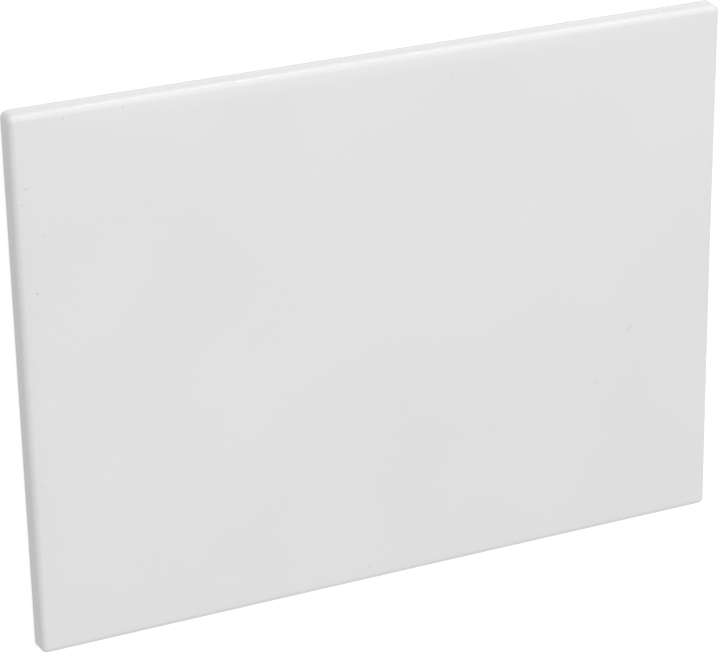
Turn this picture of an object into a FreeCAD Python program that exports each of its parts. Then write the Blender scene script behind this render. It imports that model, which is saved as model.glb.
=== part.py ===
import FreeCAD, Part
import math
import os

# Bath end panel: one sheet of white acrylic, vacuum-formed over a mould into a shallow tray with rolled edges.
# It lies with its face up, on the cut rim of its returns. X runs along its width, Y up its height as it is
# fitted, and Z out of its face. The origin is the middle of the rim's plane.

# Driving dimensions, in millimetres and degrees
panel_width = 700.0  # over the rim, across the end of the bath
panel_height = 520.0  # over the rim, from the floor to the underside of the bath's edge
panel_depth = 19.0  # from the cut rim to the face
sheet_thickness = 3.0  # of the face, where the sheet keeps the thickness it was made in
rim_thickness = 2.4  # at the cut rim, where the sheet has stretched most down the mould's sides
edge_radius = 6.0  # outside roll, from the face into the returns, and outside ball of each corner
draft_angle = 3.0  # each return leans out towards the rim, so that the panel lifts off its mould

# Section of the rolled edge, measured out from the upright axis of a corner's ball
draft = math.radians(draft_angle)
inside_radius = edge_radius - sheet_thickness
roll_height = panel_depth - edge_radius
rim_reach = (edge_radius + roll_height * math.sin(draft)) / math.cos(draft)
rim_inside_reach = rim_reach - rim_thickness

# Half the distance between the corners' axes
half_across = panel_width / 2 - rim_reach
half_up = panel_height / 2 - rim_reach

up = FreeCAD.Vector(0, 0, 1)
quarter_turn = 90.0


def inside_draft():
    """Lean of a return's inner face, in radians: the tangent from the rim's inner corner to the inside roll."""
    turn = math.acos(inside_radius / math.hypot(rim_inside_reach, roll_height))
    return turn - math.atan2(roll_height, rim_inside_reach)


def roll_point(radius, angle):
    """Point of a roll of this radius, at an angle in radians from level, in the section's plane."""
    return FreeCAD.Vector(radius * math.cos(angle), 0, roll_height + radius * math.sin(angle))


def roll(radius, lean):
    """Arc of a roll from the level face to where the leaning return leaves it."""
    level = math.pi / 2
    middle = (level + lean) / 2
    return Part.Arc(roll_point(radius, level), roll_point(radius, middle), roll_point(radius, lean)).toShape()


def edge_section():
    """Section of roll and return, from a corner's axis out to the return, in the plane Y = 0."""
    outside = roll(edge_radius, draft)
    inside = roll(inside_radius, inside_draft())
    return_and_rim = Part.makePolygon([
        outside.Vertexes[-1].Point,
        FreeCAD.Vector(rim_reach, 0, 0),
        FreeCAD.Vector(rim_inside_reach, 0, 0),
        inside.Vertexes[-1].Point,
    ])
    through_sheet = Part.makeLine(inside.Vertexes[0].Point, outside.Vertexes[0].Point)
    return Part.Face(Part.Wire([outside, *return_and_rim.Edges, inside, through_sheet]))


def rolled_edges():
    """Four corners, each a quarter turn of the section, and the four straight edges between them."""
    axes = [FreeCAD.Vector(x * half_across, y * half_up, 0) for x, y in ((1, 1), (-1, 1), (-1, -1), (1, -1))]
    section = edge_section()
    pieces = []
    for k, axis in enumerate(axes):
        next_axis = axes[(k + 1) % len(axes)]
        start = section.rotated(FreeCAD.Vector(), up, k * quarter_turn).translated(axis)
        pieces.append(start.revolve(axis, up, quarter_turn))
        pieces.append(start.rotated(axis, up, quarter_turn).extrude(next_axis - axis))
    return pieces


def flat_of_face():
    """Middle of the face, between the corners' axes."""
    corner = FreeCAD.Vector(-half_across, -half_up, panel_depth - sheet_thickness)
    return Part.makeBox(2 * half_across, 2 * half_up, sheet_thickness, corner)


def bath_panel():
    """The whole panel, as one solid."""
    return flat_of_face().fuse(rolled_edges()).removeSplitter().Solids[0]


os.makedirs("parts", exist_ok=True)
panel = bath_panel()
panel.exportStep("parts/bath_panel.step")
box = panel.BoundBox
print(f"bath_panel {box.XLength:.2f} x {box.YLength:.2f} x {box.ZLength:.2f} mm, {panel.Volume / 1000:.1f} cm3")
print(f"valid {panel.isValid()}, {len(panel.Faces)} faces, inside lean {math.degrees(inside_draft()):.2f} degrees")
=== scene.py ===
"""A bath end panel: one sheet of white gloss acrylic, formed into a shallow tray with rolled edges.

The panel lies face up on the cut rim of its returns. Everything is in metres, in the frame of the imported
model: X along the panel's width, Y up its height as it is fitted, Z out of its face.
"""

import logging
import math
from dataclasses import dataclass, field
from enum import Enum
from typing import Protocol, Self

import bmesh
import bpy
from mathutils import Matrix, Vector, noise


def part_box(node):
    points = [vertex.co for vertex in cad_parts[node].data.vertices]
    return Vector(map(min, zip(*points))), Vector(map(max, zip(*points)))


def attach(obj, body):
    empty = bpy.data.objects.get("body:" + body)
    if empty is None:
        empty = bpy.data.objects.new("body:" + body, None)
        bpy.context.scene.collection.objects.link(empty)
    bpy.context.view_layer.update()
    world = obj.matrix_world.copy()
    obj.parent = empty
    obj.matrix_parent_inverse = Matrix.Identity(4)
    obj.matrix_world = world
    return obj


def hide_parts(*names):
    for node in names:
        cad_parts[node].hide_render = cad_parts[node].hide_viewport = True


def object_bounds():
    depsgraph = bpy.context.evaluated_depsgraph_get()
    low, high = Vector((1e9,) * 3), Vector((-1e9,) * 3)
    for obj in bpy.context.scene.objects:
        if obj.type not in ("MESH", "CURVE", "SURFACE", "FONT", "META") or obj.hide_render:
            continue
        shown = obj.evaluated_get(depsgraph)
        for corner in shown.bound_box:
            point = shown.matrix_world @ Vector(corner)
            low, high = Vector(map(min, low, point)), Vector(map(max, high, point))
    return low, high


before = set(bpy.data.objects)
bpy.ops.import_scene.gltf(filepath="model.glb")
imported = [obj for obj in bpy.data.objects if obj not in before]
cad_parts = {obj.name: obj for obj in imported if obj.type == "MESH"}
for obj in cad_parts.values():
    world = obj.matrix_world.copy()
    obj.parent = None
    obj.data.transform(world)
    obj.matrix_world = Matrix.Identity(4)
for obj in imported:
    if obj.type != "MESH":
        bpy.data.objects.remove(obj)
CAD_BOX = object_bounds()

LOG = logging.getLogger("bath_panel")
FACE_LEVEL = CAD_BOX[1].z
MERGE_DISTANCE = 1e-6
QUARTER_TURN = math.pi / 2
ORIGIN = (0.0, 0.0, 0.0)
UP = (0.0, 0.0, 1.0)
SECTION_AXIS = (0.0, 1.0, 0.0)  # square to the plane in which the edge's section is drawn
UNIT_SPAN = (0.0, 1.0)
CENTRED_SPAN = (-0.5, 0.5)
NOISE_SPAN = (0.3, 0.7)  # usual low and high of a noise pattern
SPECK_CORE = (0.0, 0.5)  # from a spot's border to the value at which a mark shows in full
FULL_WHITE = (1.0, 1.0, 1.0, 1.0)

Chain = list[bmesh.types.BMVert | bmesh.types.BMEdge]
Triple = tuple[float, float, float]
Span = tuple[float, float]


class Zone(Enum):
    """Parts of the sheet's surface that have a finish of their own, numbered as their material slots."""

    FACE = 0
    RIM = 1
    REVERSE = 2


class Combine(Enum):
    """Ways to make one value of two, by Blender's names."""

    LARGER = "MAXIMUM"
    PRODUCT = "MULTIPLY"


class LampRole(Enum):
    """What a lamp does."""

    SHADE = "lights surfaces, and isn't mirrored in them"
    GLEAM = "is mirrored in polished surfaces, and lights nothing else"


class SectionPen:
    """Draws a chain of edges by extruding its tip."""

    def __init__(self, bm: bmesh.types.BMesh, start: Vector) -> None:
        """Puts the pen down.

        Args:
            bm: Mesh to draw in.
            start: First point of the chain.
        """
        self.bm = bm
        self.tip: bmesh.types.BMVert = bmesh.ops.create_vert(bm, co=start)["vert"][0]

    def line(self, end: Vector, steps: int = 1) -> None:
        """Draws a straight run.

        Args:
            end: Where the run ends.
            steps: Number of edges in it.
        """
        stride = (end - self.tip.co) / steps
        self._sweep(cent=self.tip.co, angle=0.0, dvec=stride, steps=steps)

    def arc(self, centre: Vector, angle: float, steps: int) -> None:
        """Draws an arc in the plane of X and Z.

        Args:
            centre: Centre of the arc.
            angle: Turn about +Y, in radians.
            steps: Number of edges in it.
        """
        self._sweep(cent=centre, angle=angle, dvec=Vector(), steps=steps)

    def _sweep(self, **how: Vector | float | int) -> None:
        """Extrudes the tip step by step, and moves the pen to its new place."""
        made = bmesh.ops.spin(self.bm, geom=[self.tip], axis=SECTION_AXIS, **how)
        self.tip = next(item for item in made["geom_last"] if isinstance(item, bmesh.types.BMVert))


@dataclass(frozen=True)
class EdgeSection:
    """Section of the sheet at its edge, measured out from the upright axis of a corner's ball.

    Attributes:
        depth: From the cut rim to the face.
        sheet_thickness: Of the face.
        rim_thickness: At the cut rim, where the sheet has stretched.
        roll_radius: Outside roll, from the face into the return, and outside ball of a corner.
        draft: Lean of a return towards the rim, in radians.
        roll_steps: Edges along a roll.
        return_steps: Edges down a return.
    """

    depth: float
    sheet_thickness: float = 0.003
    rim_thickness: float = 0.0024
    roll_radius: float = 0.006
    draft: float = math.radians(3.0)
    roll_steps: int = 20
    return_steps: int = 4

    @property
    def inside_radius(self) -> float:
        """Radius of the inside roll."""
        return self.roll_radius - self.sheet_thickness

    @property
    def roll_height(self) -> float:
        """Height of both rolls' centre above the rim."""
        return self.depth - self.roll_radius

    @property
    def rim_reach(self) -> float:
        """Distance from a corner's axis out to the rim."""
        return (self.roll_radius + self.roll_height * math.sin(self.draft)) / math.cos(self.draft)

    @property
    def inside_draft(self) -> float:
        """Works out the lean of a return's inner face.

        Returns:
            Lean in radians of the tangent from the rim's inner corner to the inside roll.
        """
        out = self.rim_reach - self.rim_thickness
        turn = math.acos(self.inside_radius / math.hypot(out, self.roll_height))
        return turn - math.atan2(self.roll_height, out)

    def draw(self, bm: bmesh.types.BMesh, zone: Zone, axis: Vector) -> Chain:
        """Draws the chain of edges that sweeps out one zone, in the plane of X and Z.

        Args:
            bm: Mesh to draw in.
            zone: Zone to draw.
            axis: Foot of the corner's axis.

        Returns:
            The chain's vertices and edges.
        """
        first_vert, first_edge = len(bm.verts), len(bm.edges)
        centre = axis + Vector((0.0, 0.0, self.roll_height))
        rim_outside = axis + Vector((self.rim_reach, 0.0, 0.0))
        rim_inside = rim_outside - Vector((self.rim_thickness, 0.0, 0.0))
        if zone is Zone.RIM:
            pen = SectionPen(bm, rim_outside)
            pen.line(rim_inside)
        else:
            outside = zone is Zone.FACE
            radius = self.roll_radius if outside else self.inside_radius
            lean = self.draft if outside else self.inside_draft
            pen = SectionPen(bm, centre + Vector((0.0, 0.0, radius)))
            pen.arc(centre, QUARTER_TURN - lean, self.roll_steps)
            pen.line(rim_outside if outside else rim_inside, self.return_steps)
        bm.verts.ensure_lookup_table()
        bm.edges.ensure_lookup_table()
        return [*bm.verts[first_vert:], *bm.edges[first_edge:]]


@dataclass(frozen=True)
class EdgeFalls:
    """How much the face falls by the start of each roll, half-way along that side.

    Attributes:
        left: On the side at -X.
        right: On the side at +X.
        bottom: On the side at -Y.
        top: On the side at +Y.
        width: How far inside a roll the fall starts.
    """

    left: float = 0.0012
    right: float = 0.0008
    bottom: float = 0.0002
    top: float = 0.0011
    width: float = 0.013

    def share(self, inside: float) -> float:
        """Share of a side's fall at a distance inside its roll, along a parabola that starts level."""
        return max(0.0, 1 - inside / self.width) ** 2


@dataclass(frozen=True)
class Speck:
    """A small mark on the face.

    Attributes:
        place: Its middle, along X and Y.
        length: Along its own direction.
        width: Across it.
        turn: Of its direction from +X, in degrees.
        depth: How much of the mark's colour shows at its middle, from 0 to 1.
    """

    place: Span
    length: float
    width: float
    turn: float
    depth: float


SPECKS = (
    Speck((0.2586, -0.0503), 0.018, 0.007, 45.0, 0.12),
    Speck((0.2572, -0.0510), 0.007, 0.003, 40.0, 0.22),
    Speck((0.2240, -0.1008), 0.0035, 0.0028, 0.0, 0.30),
    Speck((-0.3005, 0.2502), 0.004, 0.0025, 80.0, 0.27),
    Speck((-0.2458, 0.2521), 0.0035, 0.003, 0.0, 0.36),
    Speck((-0.3381, 0.1927), 0.010, 0.0024, 8.0, 0.20),
    Speck((-0.3412, 0.1786), 0.006, 0.004, 0.0, 0.14),
    Speck((-0.3232, 0.1479), 0.008, 0.008, 0.0, 0.07),
    Speck((-0.3328, 0.0951), 0.0032, 0.0032, 0.0, 0.40),
    Speck((-0.3392, -0.0894), 0.0038, 0.0032, 0.0, 0.30),
    Speck((0.0687, 0.2349), 0.003, 0.0025, 0.0, 0.30),
    Speck((-0.0205, -0.2441), 0.003, 0.0025, 0.0, 0.34),
)


class TreeNodes:
    """Adds nodes to a node tree and joins them."""

    def __init__(self, tree: bpy.types.NodeTree) -> None:
        """Takes up a tree.

        Args:
            tree: The tree to add to.
        """
        self.tree = tree

    def add(self, kind: str, **settings: str) -> bpy.types.Node:
        """Adds a node.

        Args:
            kind: Blender's name of the node type.
            settings: Properties to set on the node.

        Returns:
            The new node.
        """
        node = self.tree.nodes.new(kind)
        for key, value in settings.items():
            setattr(node, key, value)
        return node

    def link(self, output: bpy.types.NodeSocket, target: bpy.types.NodeSocket) -> None:
        """Joins two sockets."""
        self.tree.links.new(output, target)

    def mapped(self, value: bpy.types.NodeSocket, source: Span, result: Span) -> bpy.types.NodeSocket:
        """Maps a value from one span to another.

        Args:
            value: The value.
            source: Span that it comes from, beyond which it is clipped.
            result: Span that it goes to.

        Returns:
            The mapped value.
        """
        node = self.add("ShaderNodeMapRange")
        for name, number in zip(("From Min", "From Max", "To Min", "To Max"), (*source, *result)):
            node.inputs[name].default_value = number
        self.link(value, node.inputs["Value"])
        return node.outputs["Result"]

    def combine(self, how: Combine, values: list[bpy.types.NodeSocket]) -> bpy.types.NodeSocket:
        """Makes one value of several.

        Args:
            how: What is done with each pair.
            values: The values.

        Returns:
            The one value.
        """
        result = values[0]
        for value in values[1:]:
            node = self.add("ShaderNodeMath", operation=how.value)
            self.link(result, node.inputs[0])
            self.link(value, node.inputs[1])
            result = node.outputs["Value"]
        return result

    def seen(self) -> bpy.types.NodeSocket:
        """Adds a value that is 1 for the eye, for reflections and through clear things, and else 0.

        Returns:
            The value.
        """
        path = self.add("ShaderNodeLightPath")
        rays = ("Is Camera Ray", "Is Glossy Ray", "Is Transmission Ray")
        return self.combine(Combine.LARGER, [path.outputs[ray] for ray in rays])


class FinishNodes(TreeNodes):
    """Node tree of one material, with the patterns that the finishes share, on Object coordinates."""

    def __init__(self, name: str) -> None:
        """Starts a material.

        Args:
            name: Name of the material.
        """
        self.material = bpy.data.materials.new(name)
        self.material.use_nodes = True
        super().__init__(self.material.node_tree)
        self.shader = self.tree.nodes["Principled BSDF"]
        self.place = self.add("ShaderNodeTexCoord").outputs["Object"]

    def noise(self, per_metre: float, detail: float = 2.0) -> bpy.types.NodeSocket:
        """Adds a noise pattern.

        Args:
            per_metre: Patches per metre.
            detail: Octaves of finer noise.

        Returns:
            Its value, from 0 to 1.
        """
        pattern = self.add("ShaderNodeTexNoise")
        pattern.inputs["Scale"].default_value = per_metre
        pattern.inputs["Detail"].default_value = detail
        self.link(self.place, pattern.inputs["Vector"])
        return pattern.outputs["Fac"]

    def spot(self, middle: Triple, reach: Triple, turn: float = 0.0) -> bpy.types.NodeSocket:
        """Adds a soft spot.

        Args:
            middle: Where it is.
            reach: How far it goes along its own axes.
            turn: Of those axes about +Z, in radians.

        Returns:
            A value that falls from 1 at its middle to 0 at its border.
        """
        mapping = self.add("ShaderNodeMapping", vector_type="TEXTURE")
        mapping.inputs["Location"].default_value = middle
        mapping.inputs["Rotation"].default_value = (0.0, 0.0, turn)
        mapping.inputs["Scale"].default_value = reach
        ball = self.add("ShaderNodeTexGradient", gradient_type="QUADRATIC_SPHERE")
        self.link(self.place, mapping.inputs["Vector"])
        self.link(mapping.outputs["Vector"], ball.inputs["Vector"])
        return ball.outputs["Fac"]

    def low_down(self, levels: Span) -> bpy.types.NodeSocket:
        """Adds a value that picks out what lies low.

        Args:
            levels: Heights up to which it is 1 and from which it is 0.

        Returns:
            The value.
        """
        split = self.add("ShaderNodeSeparateXYZ")
        self.link(self.place, split.inputs["Vector"])
        return self.mapped(split.outputs["Z"], levels, (1.0, 0.0))

    def speck(self, speck: Speck) -> bpy.types.NodeSocket:
        """Adds one small soft mark.

        Args:
            speck: The mark.

        Returns:
            How much of the mark's colour shows, from 0 outside it.
        """
        middle = (*speck.place, FACE_LEVEL)
        reach = (speck.length / 2, speck.width / 2, speck.width / 2)
        spot = self.spot(middle, reach, math.radians(speck.turn))
        return self.mapped(spot, SPECK_CORE, (0.0, speck.depth))

    def blend(
        self, amount: bpy.types.NodeSocket, first: Triple | bpy.types.NodeSocket, second: Triple
    ) -> bpy.types.NodeSocket:
        """Mixes two colours.

        Args:
            amount: Share of the second colour.
            first: Colour at 0, or the socket that gives it.
            second: Colour at 1.

        Returns:
            The mixed colour.
        """
        mix = self.add("ShaderNodeMix", data_type="RGBA")
        self.link(amount, mix.inputs["Factor"])
        if isinstance(first, tuple):
            mix.inputs["A"].default_value = (*first, 1.0)
        else:
            self.link(first, mix.inputs["A"])
        mix.inputs["B"].default_value = (*second, 1.0)
        return mix.outputs["Result"]

    def relief(
        self, height: bpy.types.NodeSocket, rise: float, before: bpy.types.NodeSocket | None = None
    ) -> bpy.types.NodeSocket:
        """Adds a fine relief to the surface.

        Args:
            height: Pattern of the relief.
            rise: Height in metres from the pattern's 0 to its 1.
            before: Normal of a coarser relief under it.

        Returns:
            The relief's normal.
        """
        bump = self.add("ShaderNodeBump")
        bump.inputs["Strength"].default_value = 1.0
        bump.inputs["Distance"].default_value = rise
        self.link(height, bump.inputs["Height"])
        if before is not None:
            self.link(before, bump.inputs["Normal"])
        return bump.outputs["Normal"]


class Finish(Protocol):
    """Anything that makes a material."""

    def material(self) -> bpy.types.Material:
        """Makes the material."""


@dataclass(frozen=True)
class GlossAcrylic:
    """Polished outer side of the white sheet, with a faint peel, a ripple on the edges and small marks.

    Attributes:
        white: Its usual colour.
        greyer_white: Its colour in faint patches.
        mark: Colour of the small marks.
        patches_per_metre: Of the greyer colour.
        refraction: Of acrylic.
        gloss: Level of the reflections.
        roughness: Least and most.
        haze_per_metre: Patches of the greatest roughness per metre.
        ripple_per_metre: Bumps per metre of the ripple that stretching leaves on the edges.
        ripple_rise: Height of those bumps.
        ripple_levels: Heights up to which the ripple is full and from which there is none.
        peel_per_metre: Bumps of the peel per metre.
        peel_rise: Height of those bumps.
        grain_per_metre: Bumps of the finest grain per metre.
        grain_rise: Height of those bumps.
    """

    white: Triple = (0.80, 0.80, 0.80)
    greyer_white: Triple = (0.78, 0.78, 0.78)
    mark: Triple = (0.25, 0.25, 0.25)
    patches_per_metre: float = 5.0
    refraction: float = 1.49
    gloss: float = 0.3
    roughness: Span = (0.08, 0.13)
    haze_per_metre: float = 22.0
    ripple_per_metre: float = 200.0
    ripple_rise: float = 0.0004
    ripple_levels: Span = (0.0165, 0.0188)
    peel_per_metre: float = 110.0
    peel_rise: float = 0.00006
    grain_per_metre: float = 900.0
    grain_rise: float = 0.000004

    def material(self) -> bpy.types.Material:
        """Makes the material.

        Returns:
            The material.
        """
        nodes = FinishNodes("gloss_acrylic")
        inputs = nodes.shader.inputs
        patches = nodes.mapped(nodes.noise(self.patches_per_metre), NOISE_SPAN, UNIT_SPAN)
        white = nodes.blend(patches, self.white, self.greyer_white)
        marks = nodes.combine(Combine.LARGER, [nodes.speck(speck) for speck in SPECKS])
        nodes.link(nodes.blend(marks, white, self.mark), inputs["Base Color"])
        haze = nodes.noise(self.haze_per_metre)
        nodes.link(nodes.mapped(haze, NOISE_SPAN, self.roughness), inputs["Roughness"])
        bumps = nodes.mapped(nodes.noise(self.ripple_per_metre), UNIT_SPAN, CENTRED_SPAN)
        on_edges = nodes.combine(Combine.PRODUCT, [bumps, nodes.low_down(self.ripple_levels)])
        ripple = nodes.relief(on_edges, self.ripple_rise)
        peel = nodes.relief(nodes.noise(self.peel_per_metre), self.peel_rise, ripple)
        grain = nodes.relief(nodes.noise(self.grain_per_metre), self.grain_rise, peel)
        nodes.link(grain, inputs["Normal"])
        inputs["IOR"].default_value = self.refraction
        inputs["Specular IOR Level"].default_value = self.gloss
        return nodes.material


@dataclass(frozen=True)
class SatinReverse:
    """Inner side of the sheet, dulled by the mould's skin.

    Attributes:
        white: Its usual colour.
        duller_white: Its colour in faint patches.
        patches_per_metre: Of the duller colour.
        patch_detail: Octaves of finer patches.
        refraction: Of acrylic.
        roughness: Least and most.
        haze_per_metre: Patches of the greatest roughness per metre.
        grain_per_metre: Bumps of the mould's skin per metre.
        grain_rise: Height of those bumps.
    """

    white: Triple = (0.76, 0.76, 0.76)
    duller_white: Triple = (0.72, 0.72, 0.715)
    patches_per_metre: float = 8.0
    patch_detail: float = 4.0
    refraction: float = 1.49
    roughness: Span = (0.36, 0.48)
    haze_per_metre: float = 30.0
    grain_per_metre: float = 420.0
    grain_rise: float = 0.00003

    def material(self) -> bpy.types.Material:
        """Makes the material.

        Returns:
            The material.
        """
        nodes = FinishNodes("satin_reverse")
        inputs = nodes.shader.inputs
        clouds = nodes.noise(self.patches_per_metre, self.patch_detail)
        patches = nodes.mapped(clouds, NOISE_SPAN, UNIT_SPAN)
        nodes.link(nodes.blend(patches, self.white, self.duller_white), inputs["Base Color"])
        haze = nodes.noise(self.haze_per_metre)
        nodes.link(nodes.mapped(haze, NOISE_SPAN, self.roughness), inputs["Roughness"])
        nodes.link(nodes.relief(nodes.noise(self.grain_per_metre), self.grain_rise), inputs["Normal"])
        inputs["IOR"].default_value = self.refraction
        return nodes.material


@dataclass(frozen=True)
class CutRim:
    """Rim of the returns, matt from the cutter that trimmed it.

    Attributes:
        white: Its usual colour.
        scored_white: Its colour in the cutter's scores.
        refraction: Of acrylic.
        roughness: Least and most.
        scores_per_metre: Of the cutter.
        score_detail: Octaves of finer scores.
        score_rise: Height between the scores.
    """

    white: Triple = (0.74, 0.74, 0.74)
    scored_white: Triple = (0.66, 0.66, 0.66)
    refraction: float = 1.49
    roughness: Span = (0.50, 0.68)
    scores_per_metre: float = 700.0
    score_detail: float = 3.0
    score_rise: float = 0.00008

    def material(self) -> bpy.types.Material:
        """Makes the material.

        Returns:
            The material.
        """
        nodes = FinishNodes("cut_rim")
        inputs = nodes.shader.inputs
        scores = nodes.noise(self.scores_per_metre, self.score_detail)
        scored = nodes.mapped(scores, NOISE_SPAN, UNIT_SPAN)
        nodes.link(nodes.blend(scored, self.white, self.scored_white), inputs["Base Color"])
        nodes.link(nodes.mapped(scores, NOISE_SPAN, self.roughness), inputs["Roughness"])
        nodes.link(nodes.relief(scores, self.score_rise), inputs["Normal"])
        inputs["IOR"].default_value = self.refraction
        return nodes.material


@dataclass
class BathPanel:
    """The formed sheet.

    Attributes:
        width: Over the rim, along X.
        height: Over the rim, along Y.
        section: Section of its edge.
        cell: Usual size of a face of its mesh.
        corner_steps: Edges round a corner.
        rim_break: Width of the small bevel along both edges of the cut rim.
        rim_break_steps: Faces across that bevel.
        falls: How the face falls towards its rolled edges.
        wave_length: Of the faint waves in the face.
        wave_rise: Of those waves.
        finishes: The finish of each zone.
    """

    width: float
    height: float
    section: EdgeSection
    cell: float = 0.005
    corner_steps: int = 12
    rim_break: float = 0.0003
    rim_break_steps: int = 2
    falls: EdgeFalls = EdgeFalls()
    wave_length: float = 0.16
    wave_rise: float = 0.00012
    finishes: dict[Zone, Finish] = field(
        default_factory=lambda: {
            Zone.FACE: GlossAcrylic(),
            Zone.RIM: CutRim(),
            Zone.REVERSE: SatinReverse(),
        }
    )

    @classmethod
    def from_node(cls, node: str) -> Self:
        """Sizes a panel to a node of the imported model.

        Args:
            node: Name of the node.

        Returns:
            The panel.
        """
        low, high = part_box(node)
        size = high - low
        return cls(width=size.x, height=size.y, section=EdgeSection(depth=size.z))

    @property
    def half_across(self) -> float:
        """Half the distance between the corners' axes along X."""
        return self.width / 2 - self.section.rim_reach

    @property
    def half_up(self) -> float:
        """Half the distance between the corners' axes along Y."""
        return self.height / 2 - self.section.rim_reach

    @property
    def corners(self) -> list[Vector]:
        """Feet of the corners' axes, anticlockwise from the lower right one."""
        signs = ((1, -1), (1, 1), (-1, 1), (-1, -1))
        return [Vector((x * self.half_across, y * self.half_up, 0.0)) for x, y in signs]

    def build(self) -> bpy.types.Object:
        """Builds the sheet.

        Returns:
            The finished piece, without its materials.
        """
        bm = bmesh.new()
        for zone in Zone:
            first = len(bm.faces)
            self._sweep_edge(bm, zone)
            bm.faces.ensure_lookup_table()
            for face in bm.faces[first:]:
                face.material_index = zone.value
        self._divide_sides(bm)
        self._lay_flat(bm, Zone.FACE)
        self._lay_flat(bm, Zone.REVERSE)
        bmesh.ops.remove_doubles(bm, verts=bm.verts[:], dist=MERGE_DISTANCE)
        bmesh.ops.recalc_face_normals(bm, faces=bm.faces[:])
        self._break_rim(bm)
        self._settle(bm)
        for face in bm.faces:
            face.smooth = True
        mesh = bpy.data.meshes.new("panel_sheet")
        bm.to_mesh(mesh)
        bm.free()
        piece = bpy.data.objects.new("panel_sheet", mesh)
        bpy.context.scene.collection.objects.link(piece)
        return piece

    def dress(self, piece: bpy.types.Object) -> None:
        """Gives each zone its finish.

        Args:
            piece: The sheet.
        """
        for zone in Zone:
            piece.data.materials.append(self.finishes[zone].material())

    def _sweep_edge(self, bm: bmesh.types.BMesh, zone: Zone) -> None:
        """Sweeps one zone's chain up the right side, round each corner and along each side.

        Args:
            bm: Mesh to build in.
            zone: Zone to sweep.
        """
        corners = self.corners
        chain = self.section.draw(bm, zone, corners[0])
        for k, start in enumerate(corners):
            end = corners[(k + 1) % len(corners)]
            sweep = {"cent": end, "axis": UP}
            side = bmesh.ops.spin(bm, geom=chain, angle=0.0, dvec=end - start, steps=1, **sweep)
            chain = side["geom_last"]
            turn = bmesh.ops.spin(bm, geom=chain, angle=QUARTER_TURN, steps=self.corner_steps, **sweep)
            chain = turn["geom_last"]

    def _divide_sides(self, bm: bmesh.types.BMesh) -> None:
        """Divides the straight sides into cells that meet those of the flat.

        Args:
            bm: Mesh of the swept edge.
        """
        for axis, half in enumerate((self.half_across, self.half_up)):
            long_edges = [e for e in bm.edges if abs(e.verts[0].co[axis] - e.verts[1].co[axis]) > half]
            cuts = self._cells(half) - 1
            bmesh.ops.subdivide_edges(bm, edges=long_edges, cuts=cuts, use_grid_fill=True)

    def _cells(self, half: float) -> int:
        """Number of cells along a side, from half its length."""
        return round(2 * half / self.cell)

    def _lay_flat(self, bm: bmesh.types.BMesh, zone: Zone) -> None:
        """Lays the flat of the face or of the reverse between the corners' axes.

        Args:
            bm: Mesh to build in.
            zone: Zone to lay.
        """
        height = self.section.depth - (self.section.sheet_thickness if zone is Zone.REVERSE else 0.0)
        stretch = Matrix.Diagonal((self.half_across, self.half_up, 1.0, 1.0))
        grid = bmesh.ops.create_grid(
            bm,
            x_segments=self._cells(self.half_across),
            y_segments=self._cells(self.half_up),
            size=1.0,
            matrix=Matrix.Translation((0.0, 0.0, height)) @ stretch,
        )
        for face in {face for vert in grid["verts"] for face in vert.link_faces}:
            face.material_index = zone.value

    def _break_rim(self, bm: bmesh.types.BMesh) -> None:
        """Takes the sharpness off both edges of the cut rim.

        Args:
            bm: Mesh of the closed sheet.
        """
        edges = []
        for edge in bm.edges:
            zones = {face.material_index for face in edge.link_faces}
            if Zone.RIM.value in zones and len(zones) > 1:
                edges.append(edge)
        bmesh.ops.bevel(
            bm,
            geom=edges,
            offset=self.rim_break,
            segments=self.rim_break_steps,
            profile=0.5,
            affect="EDGES",
            material=-1,
        )

    def _settle(self, bm: bmesh.types.BMesh) -> None:
        """Lets the sheet fall a little towards its rolled edges and wave a little, and keeps the rim level.

        Args:
            bm: Mesh of the closed sheet.
        """
        for vert in bm.verts:
            x, y, z = vert.co
            from_corner_x = max(0.0, 1 - (x / self.half_across) ** 2)
            from_corner_y = max(0.0, 1 - (y / self.half_up) ** 2)
            side_fall = self.falls.right if x > 0 else self.falls.left
            end_fall = self.falls.top if y > 0 else self.falls.bottom
            fall = side_fall * self.falls.share(self.half_across - abs(x)) * from_corner_y
            fall += end_fall * self.falls.share(self.half_up - abs(y)) * from_corner_x
            wave = noise.noise(Vector((x, y, 0.0)) / self.wave_length) * from_corner_x * from_corner_y
            vert.co.z += (self.wave_rise * wave - fall) * z / self.section.depth


@dataclass(frozen=True)
class Softbox:
    """A soft lamp.

    Attributes:
        name: What it is called.
        role: What it does.
        place: Its middle.
        aim: Where it points.
        size: Width and height of its front.
        power: In watts.
    """

    name: str
    role: LampRole
    place: Triple
    aim: Triple
    size: Span
    power: float

    def hang(self) -> bpy.types.Object:
        """Puts the lamp in the scene.

        Returns:
            The lamp.
        """
        light = bpy.data.lights.new(self.name, "AREA")
        light.shape = "RECTANGLE"
        light.size, light.size_y = self.size
        light.energy = self.power
        lamp = bpy.data.objects.new(self.name, light)
        lamp.visible_diffuse = self.role is LampRole.SHADE
        lamp.visible_glossy = self.role is LampRole.GLEAM
        lamp.location = self.place
        lamp.rotation_euler = (Vector(self.aim) - Vector(self.place)).to_track_quat("-Z", "Y").to_euler()
        bpy.context.scene.collection.objects.link(lamp)
        return lamp


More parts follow.
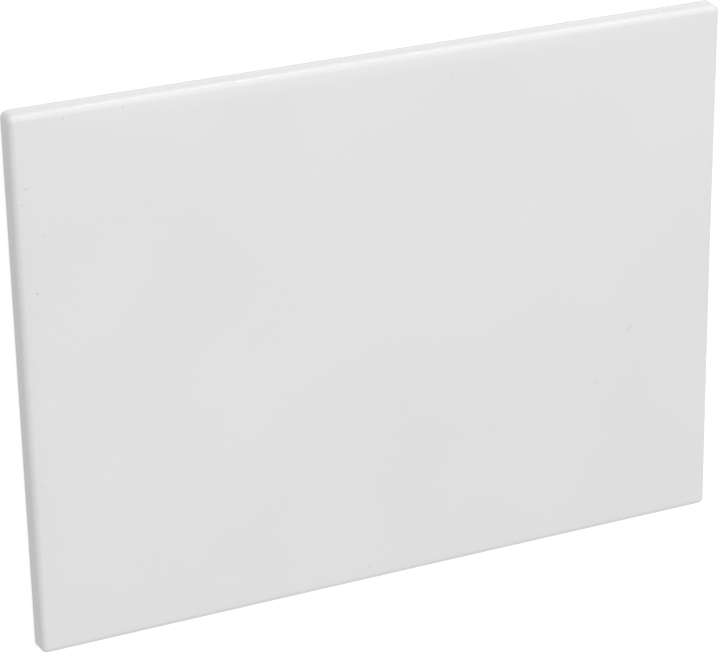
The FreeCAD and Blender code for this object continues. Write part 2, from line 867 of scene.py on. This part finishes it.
@dataclass
class Studio:
    """Plain pale floor and soft light.

    Attributes:
        floor_half: Half the side of the floor.
        floor_level: A hair under the rim.
        floor_white: Colour of the floor.
        near_glow: What the floor under the panel adds for the eye and for reflections, to show as white.
        far_glow: The same at the floor's border, where less light falls.
        fill: Strength of the even light all round.
        lamps: The soft lamps.
    """

    floor_half: float = 6.0
    floor_level: float = -0.0004
    floor_white: float = 0.58
    near_glow: float = 0.55
    far_glow: float = 0.73
    fill: float = 0.488
    lamps: tuple[Softbox, ...] = (
        Softbox("key", LampRole.SHADE, (0.50, 4.75, 1.46), ORIGIN, (6.0, 0.8), 113.0),
        Softbox("overhead", LampRole.SHADE, (0.20, 0.60, 4.85), ORIGIN, (1.8, 2.2), 86.5),
        Softbox("edge_strip", LampRole.GLEAM, (2.10, 4.60, 0.32), (0.0, 0.26, 0.0), (2.9, 0.42), 40.0),
    )

    def build(self) -> None:
        """Builds floor, lamps and surrounding light."""
        self._lay_floor()
        for lamp in self.lamps:
            LOG.info("lamp %s", lamp.hang().name)
        self._light_round()

    def _lay_floor(self) -> None:
        """Lays the floor, which keeps the panel's shadow."""
        bm = bmesh.new()
        level = Matrix.Translation((0.0, 0.0, self.floor_level))
        bmesh.ops.create_grid(bm, x_segments=1, y_segments=1, size=self.floor_half, matrix=level)
        mesh = bpy.data.meshes.new("floor")
        bm.to_mesh(mesh)
        bm.free()
        mesh.materials.append(self._floor_material())
        floor = bpy.data.objects.new("floor", mesh)
        bpy.context.scene.collection.objects.link(floor)
        LOG.info("%s", floor.name)

    def _floor_material(self) -> bpy.types.Material:
        """Makes a matt material that shows as white from the panel to the floor's border.

        Returns:
            The material.
        """
        nodes = FinishNodes("pale_floor")
        inputs = nodes.shader.inputs
        inputs["Base Color"].default_value = (self.floor_white,) * 3 + (1.0,)
        inputs["Roughness"].default_value = 1.0
        inputs["Specular IOR Level"].default_value = 0.0
        inputs["Emission Color"].default_value = FULL_WHITE
        near = nodes.spot(ORIGIN, (self.floor_half,) * 3)
        glow = nodes.mapped(near, UNIT_SPAN, (self.far_glow, self.near_glow))
        nodes.link(nodes.combine(Combine.PRODUCT, [nodes.seen(), glow]), inputs["Emission Strength"])
        return nodes.material

    def _light_round(self) -> None:
        """Sets the even light all round, which shows as white."""
        world = bpy.data.worlds.new("surround")
        world.use_nodes = True
        nodes = TreeNodes(world.node_tree)
        inputs = world.node_tree.nodes["Background"].inputs
        inputs["Color"].default_value = FULL_WHITE
        nodes.link(nodes.mapped(nodes.seen(), UNIT_SPAN, (self.fill, 1.0)), inputs["Strength"])
        bpy.context.scene.world = world


@dataclass(frozen=True)
class PhotoCamera:
    """Camera at the photograph's viewing angle.

    Attributes:
        place: Where it stands.
        aim: Point of the face in the middle of the picture.
        upward: Direction that is up in the picture.
        lens: Focal length in millimetres, on a sensor as wide as the picture.
        sensor: Width of that sensor in millimetres.
    """

    place: Triple = (-1.0646, 1.07807, 2.32261)
    aim: Triple = (-0.02598, 0.00593, FACE_LEVEL)
    upward: Triple = (0.17672, 0.92042, -0.3487)
    lens: float = 149.254
    sensor: float = 36.0

    def set_up(self) -> bpy.types.Object:
        """Puts the camera in the scene and looks through it.

        Returns:
            The camera.
        """
        data = bpy.data.cameras.new("photo_camera")
        data.lens = self.lens
        data.sensor_width = self.sensor
        data.sensor_fit = "HORIZONTAL"
        camera = bpy.data.objects.new("photo_camera", data)
        back = (Vector(self.place) - Vector(self.aim)).normalized()
        right = Vector(self.upward).cross(back).normalized()
        turn = Matrix((right, back.cross(right), back)).transposed().to_4x4()
        camera.matrix_world = Matrix.Translation(self.place) @ turn
        bpy.context.scene.collection.objects.link(camera)
        bpy.context.scene.camera = camera
        return camera


def main() -> None:
    """Builds the panel, the studio and the camera in order."""
    logging.basicConfig(level=logging.INFO, format="%(message)s")
    bpy.context.scene.view_settings.view_transform = "Standard"
    panel = BathPanel.from_node("bath_panel")
    piece = panel.build()
    panel.dress(piece)
    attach(piece, "root")
    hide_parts("bath_panel")
    LOG.info("%s: %d faces", piece.name, len(piece.data.polygons))
    Studio().build()
    LOG.info("camera %s", PhotoCamera().set_up().name)


if __name__ == "__main__":
    main()
